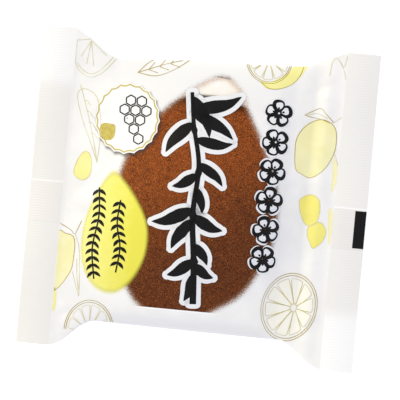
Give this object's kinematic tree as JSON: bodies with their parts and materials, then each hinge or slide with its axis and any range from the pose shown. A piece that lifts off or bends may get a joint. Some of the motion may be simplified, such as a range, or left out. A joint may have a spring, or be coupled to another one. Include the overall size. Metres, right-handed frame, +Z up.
{
  "type": "film-wrapped dorayaki",
  "caption": "Dorayaki, a round honey pancake sandwich, sealed in a white printed flow-wrap film with crimped ends, a back seam and a clear window over the cake.",
  "frame": {"origin": "middle of the pack's bounding box, in the plane that it rests on", "axes": "+X from one crimped end seal to the other, +Y towards the looser side fold, +Z up through the window side"},
  "size_m": [0.1272, 0.12, 0.0312],
  "materials": {
    "film": "satin white printed film with a clear window",
    "cake": "baked brown crumb",
    "dark_ink": "black print on film",
    "white_ink": "opaque white print on film",
    "yellow_ink": "yellow print on film",
    "gold_ink": "gold line print on film"
  },
  "bodies": {
    "root": {"sealed_pack": "film"}
  },
  "joints": []
}
